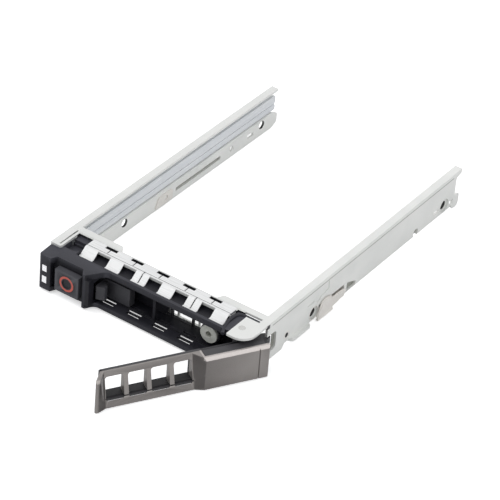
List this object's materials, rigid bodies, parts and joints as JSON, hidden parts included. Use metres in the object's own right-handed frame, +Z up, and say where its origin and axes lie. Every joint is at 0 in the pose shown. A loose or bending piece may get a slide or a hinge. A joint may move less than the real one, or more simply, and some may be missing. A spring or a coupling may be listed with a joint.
{
  "type": "hot swap drive caddy",
  "caption": "Hot swap caddy for a small server drive: steel tray rails, moulded front bezel, push button and swing-out ejector handle.",
  "frame": {"origin": "on the underside at mid width, below the front cross bar", "axes": "+X right as seen from the front, +Y from front to rear, +Z up"},
  "size_m": [0.0805, 0.1639, 0.0142],
  "materials": {
    "steel": "satin zinc plate",
    "gasket": "bright",
    "black_plastic": "fine spark texture",
    "button_plastic": "satin",
    "ring_paint": "satin",
    "light_pipe": "clear, frosted",
    "handle_plastic": "gunmetal satin",
    "lever_metal": "satin black",
    "pin_steel": "turned",
    "rivet_metal": "plated",
    "spring_steel": "plated"
  },
  "bodies": {
    "caddy": {"steel_frame": "steel", "bezel": "black_plastic", "emi_gasket_top": "gasket", "emi_gasket_bottom": "gasket", "light_pipe_upper": "light_pipe", "light_pipe_lower": "light_pipe", "latch_housing": "black_plastic", "button_spring": "spring_steel", "handle_spring": "spring_steel", "hinge_pin": "pin_steel", "bezel_rivet": "rivet_metal", "rail_clip_right": "spring_steel", "rail_clip_left": "spring_steel"},
    "handle": {"handle_cover": "handle_plastic", "handle_lever": "lever_metal"},
    "button": {"release_button": "button_plastic", "button_ring": "ring_paint"},
    "latch": {"latch": "black_plastic"}
  },
  "joints": [
    {"name": "handle_hinge", "type": "hinge", "parent": "caddy", "child": "handle", "pos_m": [0.0327, -0.0052, 0.0071], "axis": [0, 0, 1], "range_deg": [-58.2, 0], "stiffness_Nm_per_rad": 0.002},
    {"name": "button_press", "type": "slide", "parent": "caddy", "child": "button", "axis": [0, 1, 0], "range_m": [0, 0.0016], "stiffness_N_per_m": 600, "springref_m": -0.0005, "deforming": ["button_spring"]},
    {"name": "latch_slide", "type": "slide", "parent": "caddy", "child": "latch", "axis": [-1, 0, 0], "range_m": [0, 0.0016]}
  ],
  "couplings": [
    {"joint": "latch_slide", "follows": "button_press", "ratio": 1}
  ]
}
